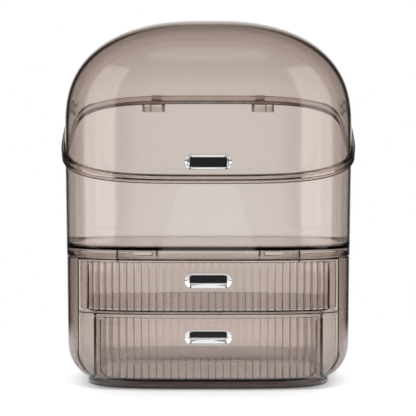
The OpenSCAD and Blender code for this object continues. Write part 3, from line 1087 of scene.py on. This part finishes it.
    def _base(self) -> None:
        """Builds the bucket-shaped base and cuts its front opening and clips."""
        wall, rim = CASE.wall, self.base_top
        middle = -CORE * CASE.half_depth
        spigot_out, spigot_in = -wall - self.spigot_gap, -2 * wall - self.spigot_gap
        ledge_in, ledge_under = self.spigot_gap - 2 * wall, rim - self.ledge_t
        rim_in, fillet = -0.95 * wall, 0.4 * MM
        outside = self._bucket(0.0)
        inside = self._bucket(wall)
        section = [Corner(middle, self.foot_h)] + outside + rounded_section([
            outside[-1],
            Corner(0, rim, self.base_round),
            Corner(rim_in, rim, 0.1 * MM),
            Corner(spigot_out, rim + fillet),
            Corner(spigot_out, self.clip_top, SOFT),
            Corner(spigot_in, self.clip_top, SOFT),
            Corner(spigot_in, rim + fillet),
            Corner(ledge_in, ledge_under, SOFT),
            Corner(-wall, ledge_under, SOFT),
            inside[-1],
        ])[1:-1] + inside[::-1] + [Corner(middle, self.foot_h + wall)]
        base = turned("base", section)
        outline = round_footed(self.opening_half, self.opening_low, ledge_under, self.opening_round)
        before, behind = -120 * MM, -self.opening_deep * CASE.half_depth
        cut(base, block("opening", outline, before, behind))
        self._cut_clips(base)
        crease(base)
        self.finishes.dress(base, Slot.FRAME, "housing", "base_shell")

    def _cut_clips(self, base: bpy.types.Object) -> None:
        """Lowers the spigot between its clips and cuts each clip's flared window.

        Args:
            base: The base.
        """
        flare, depth, band, over = 1 * MM, 1.2 * MM, 0.6 * MM, 2 * MM
        low, high = self.spigot_top, self.clip_top + over
        near, far = self.clip_x - self.clip_foot, self.clip_x + self.clip_foot
        near_top, far_top = self.clip_x - self.clip_head, self.clip_x + self.clip_head
        for outline in ([(near, low), (near_top, high), (-near_top, high), (-near, low)],
                        [(BEYOND, low), (BEYOND, high), (far_top, high), (far, low)],
                        [(-far, low), (-far_top, high), (-BEYOND, high), (-BEYOND, low)]):
            cut(base, block("gap", outline, -BEYOND, BEYOND))
        width, height = self.window
        middle = self.clip_top - band - height / 2
        face = CASE.front(self.clip_x, -CASE.wall - CASE.shrink(middle))
        for side in (-1, 1):
            rings = [[(side * self.clip_x + x, y, middle + z)
                      for x, z in pill(width + 2 * more, height + 2 * more)]
                     for y, more in ((BEYOND, 0.0), (face + depth, 0.0), (face - flare, flare),
                                     (-BEYOND, flare))]
            cut(base, skin("window", rings))

    def _divider(self) -> None:
        """Builds the bar between the drawers with its thin shelf."""
        low, high, thick, edge = self.bar_low, self.bar_high, self.bar_t, 0.4 * MM
        section = rounded_section([
            Corner(-1.2 * edge, low), Corner(0, low, edge), Corner(0, high, edge),
            Corner(-thick, high, edge), Corner(-thick, low, edge), Corner(-2 * edge, low)])
        bar = turned("divider", section, loop=True)
        shelf = [Corner(edge - thick, z) for z in (self.shelf_low, self.shelf_low + self.shelf_t)]
        cut(bar, turned("shelf", shelf), "UNION")
        half = self.opening_half - self.bar_gap
        span = [(half, low - edge), (half, high + edge), (-half, high + edge), (-half, low - edge)]
        cut(bar, block("span", span, -BEYOND, BEYOND), "INTERSECT")
        crease(bar)
        self.finishes.dress(bar, Slot.SHELL, "housing", "divider_shelf")

    def _plinth(self) -> None:
        """Builds the foot plinth, squarer than the case above it."""
        half_width, half_depth = self.foot_half
        high, floor, edge = self.foot_h - 0.05 * MM, 0.8 * MM, 0.4 * MM
        section = rounded_section([
            Corner(CORE * half_depth, 0.0), Corner(0.0, 0.0, 1 * MM), Corner(0.0, high, edge),
            Corner(CASE.wall, high, edge), Corner(CASE.wall, floor, SOFT), Corner(CORE * half_depth, floor)])
        rings = [[(*CASE.plan(a, half_width - c.out, half_depth - c.out), c.up) for a in CASE.angles]
                 for c in section]
        self.finishes.dress(skin("plinth", rings), Slot.SHELL, "housing", "foot_plinth")


@dataclass
class ReedTree:
    """A node tree that grows reeds on a smooth drawer front.

    Attributes:
        pitch: Width of a reed.
        depth: Depth of the grooves between the reeds.
        fullness: Power of a reed's curve; a higher one is flatter with a narrower groove.
    """

    pitch: float = 7.05 * MM
    depth: float = 0.92 * MM
    fullness: float = 3.2

    def _sizes(self) -> dict[str, float]:
        """Gives the tree's inputs by name."""
        return {"Pitch": self.pitch, "Depth": self.depth, "Fullness": self.fullness}

    def make(self, material: bpy.types.Material) -> bpy.types.NodeTree:
        """Builds the tree: each point of the face sinks by the fall of its reed.

        Args:
            material: The front's finish.

        Returns:
            The tree.
        """
        tree = bpy.data.node_groups.new("reeds", "GeometryNodeTree")
        tree.interface.new_socket("Geometry", in_out="INPUT", socket_type="NodeSocketGeometry")
        for name, size in self._sizes().items():
            socket = tree.interface.new_socket(name, in_out="INPUT", socket_type="NodeSocketFloat")
            socket.default_value = size
        tree.interface.new_socket("Geometry", in_out="OUTPUT", socket_type="NodeSocketGeometry")
        wiring = Wiring(tree)
        start = wiring.add("NodeGroupInput").outputs
        along, reeded, inward = (
            wiring.add("GeometryNodeInputNamedAttribute", {"Name": name}, data_type=kind).outputs["Attribute"]
            for name, kind in (("along", "FLOAT"), ("reeded", "FLOAT"), ("inward", "FLOAT_VECTOR")))
        half = wiring.join("MULTIPLY", start["Pitch"], 0.5)
        away = wiring.join("SUBTRACT", wiring.join("FLOORED_MODULO", along, start["Pitch"]), half)
        share = wiring.join("DIVIDE", wiring.join("ABSOLUTE", away), half)
        curve = wiring.join("POWER", share, start["Fullness"])
        fall = wiring.join("MULTIPLY", wiring.join("MULTIPLY", curve, start["Depth"]), reeded)
        sink = wiring.add("ShaderNodeVectorMath", {0: inward, "Scale": fall}, operation="SCALE")
        move = wiring.add("GeometryNodeSetPosition", {
            "Geometry": start["Geometry"], "Offset": sink.outputs[0]})
        real = wiring.add("GeometryNodeRealizeInstances", {0: move.outputs["Geometry"]})
        paint = wiring.add("GeometryNodeSetMaterial", {"Geometry": real.outputs[0], "Material": material})
        wiring.add("NodeGroupOutput", {0: paint.outputs["Geometry"]})
        return tree

    def grow(self, piece: bpy.types.Object, material: bpy.types.Material) -> None:
        """Runs the tree on a piece and keeps the result as its mesh.

        Args:
            piece: The smooth front, marked with the attributes along, reeded and inward.
            material: Its finish.
        """
        change = piece.modifiers.new("reeds", "NODES")
        change.node_group = self.make(material)
        sizes = self._sizes()
        for item in change.node_group.interface.items_tree:
            if item.in_out == "INPUT" and item.name in sizes:
                change[item.identifier] = sizes[item.name]
        settle(piece)


@dataclass(frozen=True)
class Column:
    """One column of points on a drawer front.

    Attributes:
        along: Length along the front from its middle.
        x: Distance from the middle.
        y: Depth of the outer face.
        inward: Direction into the drawer.
    """

    along: float
    x: float
    y: float
    inward: tuple[float, float]


@dataclass
class Drawer:
    """A drawer: reeded front, tray and pull.

    Attributes:
        body: The body it rides on.
        finishes: The finishes of the organizer.
        front_low: Height of the front's foot.
        front_high: Height of its top.
        front_round: Radius of its lower corners.
        margin: Plain length left beside the reeds at each end.
        pull_z: Height of the pull's middle.
        pull_bevel: Height of the pull's bevel under its recess.
        tray_half: Half of the tray's width.
        tray_low: Height of its underside.
        tray_high: Height of its rim.
        tray_round: Radius of its foot.
        tray_back: Depth of its back.
        ramp: Run and rise of the slope at the back of the floor, in place of the foot's radius there.
        tray_wall: Thickness of its walls.
        tray_corner: Radius of its upright corners.
        front_half: Half of the front's width.
        set_back: How far the front stands behind the case's outline.
        front_t: Thickness of the front.
        nose: Rounding of its edges.
        reed_fade: Thickness of the front over the part of it in which the reeds fade out.
    """

    body: str
    finishes: Finishes
    front_low: float
    front_high: float
    front_round: float
    margin: float
    pull_z: float
    pull_bevel: float
    tray_half: float
    tray_low: float
    tray_high: float
    tray_round: float
    tray_back: float
    ramp: tuple[float, float] | None = None
    tray_wall: float = 2 * MM
    tray_corner: float = 8 * MM
    front_half: float = 123.3 * MM
    set_back: float = 1.9 * MM
    front_t: float = 2.5 * MM
    nose: float = 1.0 * MM
    reed_fade: float = 1.6

    def build(self) -> None:
        """Builds the drawer's three pieces."""
        reeds = ReedTree()
        front = self._front(reeds.pitch)
        reeds.grow(front, self.finishes.made[Slot.TRAY])
        pull, face = Pull(bevel_low=self.pull_bevel), self._face(0.0)
        pull.cut_hole(front, self.pull_z, face)
        crease(front, degrees=50)
        self.finishes.dress(front, Slot.TRAY, self.body, f"{self.body}_front")
        self._tray()
        cup = pull.make(f"{self.body}_cup", self.pull_z, face)
        self.finishes.dress(cup, Slot.CHROME, self.body, f"{self.body}_pull")

    def _face(self, x: float) -> float:
        """Gives the depth of the front's outer face at a distance from the middle."""
        return CASE.front(x, -self.set_back)

    def _columns(self, pitch: float) -> list[Column]:
        """Walks along the front from its middle to the right end, and mirrors the walk.

        Args:
            pitch: Width of a reed.

        Returns:
            The columns, from the left end to the right.
        """
        per_reed, fine = 18, 0.05 * MM
        step = pitch / per_reed
        table, run, x = [(0.0, 0.0)], 0.0, 0.0
        while x < self.front_half:
            after = min(x + fine, self.front_half)
            run += math.dist((x, self._face(x)), (after, self._face(after)))
            x = after
            table.append((run, x))
        half, k = [], 0
        for along in [step * i for i in range(int(run / step) + 1)] + [run]:
            while k < len(table) - 2 and table[k + 1][0] < along:
                k += 1
            part = (along - table[k][0]) / max(table[k + 1][0] - table[k][0], TINY)
            x = table[k][1] + part * (table[k + 1][1] - table[k][1])
            slope = (self._face(x + fine) - self._face(x - fine)) / (2 * fine)
            norm = math.hypot(1.0, slope)
            half.append(Column(along, x, self._face(x), (-slope / norm, 1 / norm)))
        mirrored = [Column(-c.along, -c.x, c.y, (-c.inward[0], c.inward[1])) for c in half[:0:-1]]
        return mirrored + half

    def _section(self, x: float) -> list[tuple[float, float]]:
        """Gives the front's upright section at a distance from the middle.

        Args:
            x: The distance.

        Returns:
            Depth behind the outer face and height of each point, round the section.
        """
        edge, thick, low, high = self.nose, self.front_t, self.front_low, self.front_high
        over = abs(x) - (self.front_half - self.front_round)
        if over > 0:
            low += self.front_round - math.sqrt(max(self.front_round ** 2 - over ** 2, 0.0))
        bends = [(edge * (1 - math.cos(a)), edge * (1 - math.sin(a))) for a in quarter_turn(4)]
        rows = [(thick, low + edge)] + [(thick - d, low + r) for d, r in bends[1:]]
        rows += [(d, low + r) for d, r in reversed(bends)]
        rows += [(0.0, low + 2 * edge), (0.0, high - 2 * edge)]
        rows += [(d, high - r) for d, r in bends]
        rows += [(thick - d, high - r) for d, r in reversed(bends)]
        return rows + [(thick, high - 2 * edge), (thick, low + 2 * edge)]

    def _front(self, pitch: float) -> bpy.types.Object:
        """Builds the smooth front, marked for the reeds to grow on.

        Args:
            pitch: Width of a reed.

        Returns:
            The front.
        """
        columns = self._columns(pitch)
        span = math.floor((columns[-1].along - self.margin) / pitch) * pitch + TINY
        fade = self.reed_fade / self.front_t
        verts, along, reeded, inward = [], [], [], []
        for c in columns:
            marked = 1.0 if abs(c.along) < span else 0.0
            for d, z in self._section(c.x):
                verts.append((c.x + c.inward[0] * d, c.y + c.inward[1] * d, z))
                along.append(c.along)
                reeded.append(marked * max(0.0, 1 - d * fade))
                inward += (*c.inward, 0.0)
        count = len(verts) // len(columns)
        faces = [(a + k, a + count + k, a + count + (k + 1) % count, a + (k + 1) % count)
                 for a in range(0, len(verts) - count, count) for k in range(count)]
        faces.append(tuple(range(count)))
        faces.append(tuple(range(len(verts) - 1, len(verts) - 1 - count, -1)))
        front = mesh_piece(f"{self.body}_reeded", verts, faces)
        marks = (("along", "FLOAT", "value", along), ("reeded", "FLOAT", "value", reeded),
                 ("inward", "FLOAT_VECTOR", "vector", inward))
        for name, kind, key, values in marks:
            front.data.attributes.new(name, kind, "POINT").data.foreach_set(key, values)
        return front

    def _ring(self, inset: float, low: float, z: float) -> Ring:
        """Gives the tray's outline at a height.

        Args:
            inset: Distance inside its outer face.
            low: Height of the lowest ring on that side of its wall.
            z: Height of this ring.

        Returns:
            The outline's points, each corner's from the right back round.
        """
        r, height, least, steps = self.tray_round - inset, z - low, 1 * MM, 12
        side = r - math.sqrt(max(r * r - (r - height) ** 2, 0.0)) if height < r else 0.0
        rear = side
        if self.ramp is not None:
            run, rise = self.ramp
            rear = run * max(0.0, 1 - height / rise)
        r = max(self.tray_corner - inset, least)
        right, back = self.tray_half - inset - side - r, self.tray_back - inset - rear - r
        front = r - 1.2 * CASE.half_depth
        return [(x + r * math.cos(turn + a), y + r * math.sin(turn + a), z)
                for x, y, turn in ((right, back, 0), (-right, back, math.pi / 2),
                                   (-right, front, math.pi), (right, front, 3 * math.pi / 2))
                for a in quarter_turn(steps)]

    def _foot(self, inset: float, low: float) -> list[Ring]:
        """Gives the rings of the tray's rounded foot, lowest first."""
        r = self.tray_round - inset
        return [self._ring(inset, low, low + r * (1 - math.cos(a))) for a in quarter_turn(14)]

    def _tray(self) -> None:
        """Builds the tray and trims its open front to the drawer front's inner curve."""
        low, high, t, lip = self.tray_low, self.tray_high, self.tray_wall, 0.5 * MM
        soft, gap, spare = 0.3 * lip, 0.15 * MM, 5 * MM
        rim = [(0.0, high - 2 * lip), (0.0, high - lip), (soft, high - soft), (lip, high),
               (t - lip, high), (t - soft, high - soft), (t, high - lip), (t, high - 2 * lip)]
        rings = self._foot(0.0, low) + [self._ring(inset, low, z) for inset, z in rim]
        tray = skin(f"{self.body}_bin", rings + self._foot(t, low + t)[::-1])
        out = -self.front_t - self.set_back - gap
        limit = [Corner(out + CASE.shrink(z), z) for z in (low - spare, high + spare)]
        cut(tray, turned("limit", limit), "INTERSECT")
        crease(tray, degrees=14)
        self.finishes.dress(tray, Slot.TRAY, self.body, f"{self.body}_tray")


@dataclass
class Studio:
    """The photograph's camera, pale floor, white surround and two tall lamps.

    Attributes:
        pixels: Width of the picture in pixels.
        pixel: Size of a pixel over the middle of the case.
        sensor: Width of the camera's sensor, in its own unit.
        distance: Distance of the camera.
        camera_x: Its distance from the middle.
        eye_height: Its height.
        horizon: Row of the picture that lies level with it.
        farthest: Farthest distance that it sees.
        surround: Strength of the even light all round.
        dim: Strength of what metal and plastic show where nothing is white.
        white_within: Angle from straight behind within which they show white.
        dark_beyond: Angle beyond which they show none.
        tall: Share of its height that counts in that angle, so that the white is taller than wide.
        fade: Rise towards the back over which the white begins, and least distance behind the object.
        overhead: Direction of the white patch above.
        overhead_turns: Angles at which that patch begins to fade and ends.
        floor_half: Half of the floor's width.
        floor_white: Its reflected share of light.
        floor_rough: Its roughness.
        shadow_reach: Distance from the middle up to which it shows its shadow in full.
        side_clear: Distances beside the middle between which a painted glow lifts the shadow.
        side_lift: Strength of that painted glow, which the camera alone sees.
        lamp_size: Width and height of a lamp.
        lamp_place: Place of the right lamp.
        lamp_power: Power of a lamp in watts.
    """

    pixels: float = 416
    pixel: float = 1 * MM
    sensor: float = 36.0
    distance: float = 1.92
    camera_x: float = -0.3 * MM
    eye_height: float = 0.2534
    horizon: float = 125
    farthest: float = 50
    surround: float = 0.9
    dim: float = 0.02
    white_within: float = 11.5
    dark_beyond: float = 27
    tall: float = 0.62
    fade: float = 0.1
    overhead: Point = (0, -0.3, 0.95)
    overhead_turns: tuple[float, float] = (8, 13)
    floor_half: float = 6.0
    floor_white: float = 0.98
    floor_rough: float = 0.9
    shadow_reach: float = 0.3
    side_clear: tuple[float, float] = (0.1, 0.135)
    side_lift: float = 0.3
    lamp_size: tuple[float, float] = (1.4, 2.4)
    lamp_place: Point = (1.33, -0.9, 1.15)
    lamp_power: float = 20

    def build(self) -> None:
        """Builds the studio."""
        scene = bpy.context.scene
        scene.view_settings.view_transform = "Standard"
        scene.cycles.max_bounces = 32
        scene.cycles.transmission_bounces = 32
        scene.cycles.glossy_bounces = 12
        scene.cycles.transparent_max_bounces = 16
        self._camera()
        self._world()
        self._floor()
        self._lamps()

    def _camera(self) -> None:
        """Places the camera level with the lid's seam, tilted down a little."""
        focal_pixels = self.distance / self.pixel
        tilt = math.atan((self.pixels / 2 - self.horizon) / focal_pixels)
        data = bpy.data.cameras.new("camera")
        data.sensor_width = self.sensor
        data.lens = self.sensor * focal_pixels / self.pixels
        data.clip_end = self.farthest
        camera = placed("camera", data)
        camera.location = (self.camera_x, -self.distance, self.eye_height)
        camera.rotation_euler = (math.pi / 2 - tilt, 0, 0)
        bpy.context.scene.camera = camera

    def _world(self) -> None:
        """Surrounds the object: white behind it, a white patch above it, dim everywhere else.

        Rays that come through the plastic also find white in front and on both sides, so that it
        stays clear from all round. The light on matt things is even, and the camera sees white.
        """
        world = bpy.data.worlds.new("surround")
        world.use_nodes = True
        bpy.context.scene.world = world
        wiring = Wiring(world.node_tree)
        wiring.tree.nodes.clear()
        way = wiring.add("ShaderNodeTexCoord").outputs["Generated"]
        x, y, z = wiring.add("ShaderNodeSeparateXYZ", {0: way}).outputs
        rays = wiring.add("ShaderNodeLightPath").outputs
        through = rays["Is Transmission Ray"]
        lower = wiring.join("MULTIPLY", z, self.tall)
        near, far = (math.sin(math.radians(turn)) for turn in (self.white_within, self.dark_beyond))
        ahead = wiring.join("MAXIMUM", wiring.step(y, 0.0, self.fade), through)
        behind = wiring.join("MULTIPLY", wiring.step(wiring.length(x, lower), far, near), ahead)
        beside = wiring.join("MULTIPLY", wiring.step(wiring.length(y, lower), far, near), through)
        middle = Vector(self.overhead).normalized()
        facing = wiring.add("ShaderNodeVectorMath", {0: way, 1: middle}, operation="DOT_PRODUCT")
        near, far = (math.cos(math.radians(turn)) for turn in self.overhead_turns)
        strength = wiring.step(facing.outputs["Value"], far, near)
        for other in (behind, beside, self.dim):
            strength = wiring.join("MAXIMUM", strength, other)
        surface, even, plain = (
            wiring.add("ShaderNodeBackground", {"Color": WHITE, "Strength": value}).outputs[0]
            for value in (strength, self.surround, 1.0))
        for kind, shown in (("Is Diffuse Ray", even), ("Is Camera Ray", plain)):
            surface = wiring.add("ShaderNodeMixShader", {"Fac": rays[kind], 1: surface, 2: shown}).outputs[0]
        wiring.add("ShaderNodeOutputWorld", {"Surface": surface})

    def _floor(self) -> None:
        """Lays a wide floor that keeps the shadow, lightens it beside the case with a painted glow for the
        camera, and turns into plain white farther out.
        """
        half = self.floor_half
        corners = [(-half, -half, 0), (half, -half, 0), (half, half, 0), (-half, half, 0)]
        floor = mesh_piece("floor", corners, [(0, 1, 2, 3)])
        material, wiring = new_material("pale_floor")
        nodes = wiring.tree.nodes
        place = wiring.add("ShaderNodeTexCoord").outputs["Object"]
        rays = wiring.add("ShaderNodeLightPath").outputs
        far = wiring.add("ShaderNodeVectorMath", {0: place}, operation="LENGTH").outputs["Value"]
        matt = wiring.feed(nodes["Principled BSDF"], {
            "Base Color": (self.floor_white,) * 3 + (1,), "Roughness": self.floor_rough,
            "Specular IOR Level": 0.0})
        across, deep, _ = wiring.add("ShaderNodeSeparateXYZ", {0: place}).outputs
        white = self._white_strips(wiring, across, deep, rays)
        # Painted light: a glow that only the camera sees lightens the object's shadow beside the case.
        aside = wiring.step(wiring.join("ABSOLUTE", across), *self.side_clear)
        aside = wiring.join("MULTIPLY", aside, self.side_lift)
        painted_lift = wiring.join("MULTIPLY", aside, rays["Is Camera Ray"])
        lift = wiring.add("ShaderNodeEmission", {"Strength": painted_lift})
        lit = wiring.add("ShaderNodeAddShader", {0: matt.outputs["BSDF"], 1: lift.outputs["Emission"]})
        plain = wiring.add("ShaderNodeEmission", {"Strength": white})
        away = wiring.step(far, self.shadow_reach, 2 * self.shadow_reach)
        mix = wiring.add("ShaderNodeMixShader", {
            "Fac": away, 1: lit.outputs[0], 2: plain.outputs["Emission"]})
        wiring.feed(nodes["Material Output"], {"Surface": mix.outputs[0]})
        floor.data.materials.append(material)

    def _white_strips(self, wiring: Wiring, across: bpy.types.NodeSocket, deep: bpy.types.NodeSocket,
                     rays: bpy.types.NodeOutputs) -> bpy.types.NodeSocket:
        """Shows the camera white, and metal and plastic a white strip behind the object.

        Rays that come through the plastic also find such a strip in front and on both sides.

        Args:
            wiring: The wiring of the floor's material.
            across: Distance from the middle, across.
            deep: Depth from the middle.
            rays: The outputs that tell the kinds of ray.

        Returns:
            The strength of the white.
        """
        through, strength = rays["Is Transmission Ray"], rays["Is Camera Ray"]
        x, y = (wiring.join("ABSOLUTE", side) for side in (across, deep))
        back = wiring.join("MAXIMUM", deep, wiring.join("MULTIPLY", y, through))
        limits = [math.tan(math.radians(turn)) for turn in (self.dark_beyond, self.white_within)]
        for off, half, along, share in ((x, CASE.half_width, back, 1.0), (y, CASE.half_depth, x, through)):
            near = wiring.join("MAXIMUM", along, self.fade)
            aside = wiring.join("DIVIDE", wiring.join("SUBTRACT", off, half), near)
            strip = wiring.join("MULTIPLY", wiring.step(along, -2 * self.shadow_reach, -self.shadow_reach),
                                wiring.step(aside, *limits))
            strength = wiring.join("MAXIMUM", strength, wiring.join("MULTIPLY", strip, share))
        return wiring.join("MAXIMUM", strength, self.dim)

    def _lamps(self) -> None:
        """Hangs a tall soft lamp on each side, level with what it lights."""
        x, y, z = self.lamp_place
        for side in (-1, 1):
            data = bpy.data.lights.new("tall_lamp", "AREA")
            data.shape = "RECTANGLE"
            data.size, data.size_y = self.lamp_size
            data.energy = self.lamp_power
            lamp = placed("tall_lamp", data)
            lamp.location = (side * x, y, z)
            lamp.rotation_euler = Vector((-side * x, -y, 0)).to_track_quat("-Z", "Y").to_euler()


def build_drawers(finishes: Finishes) -> None:
    """Builds the two drawers.

    Args:
        finishes: The finishes of the organizer.
    """
    upper = Drawer(
        "upper_drawer", finishes, front_low=76.5 * MM, front_high=123.1 * MM, front_round=3 * MM,
        margin=7 * MM, pull_z=105.2 * MM, pull_bevel=4.0 * MM, tray_half=116 * MM, tray_low=75.3 * MM,
        tray_high=120.4 * MM, tray_round=3 * MM, tray_back=97.4 * MM)
    lower = Drawer(
        "lower_drawer", finishes, front_low=10.4 * MM, front_high=70 * MM, front_round=22.3 * MM,
        margin=21 * MM, pull_z=51.3 * MM, pull_bevel=5.7 * MM, tray_half=104 * MM, tray_low=10.4 * MM,
        tray_high=67.5 * MM, tray_round=12 * MM, tray_back=80 * MM, ramp=(30 * MM, 9.5 * MM),
        tray_wall=1.5 * MM, front_t=1.6 * MM, nose=0.7 * MM)
    for drawer in (upper, lower):
        drawer.build()


def main() -> None:
    """Builds the organizer and its studio."""
    logging.basicConfig(level=logging.INFO, format="%(name)s: %(message)s")
    Studio().build()
    finishes = Finishes()
    Housing(finishes).build()
    Lid(finishes).build()
    build_drawers(finishes)


if __name__ == "__main__":
    main()
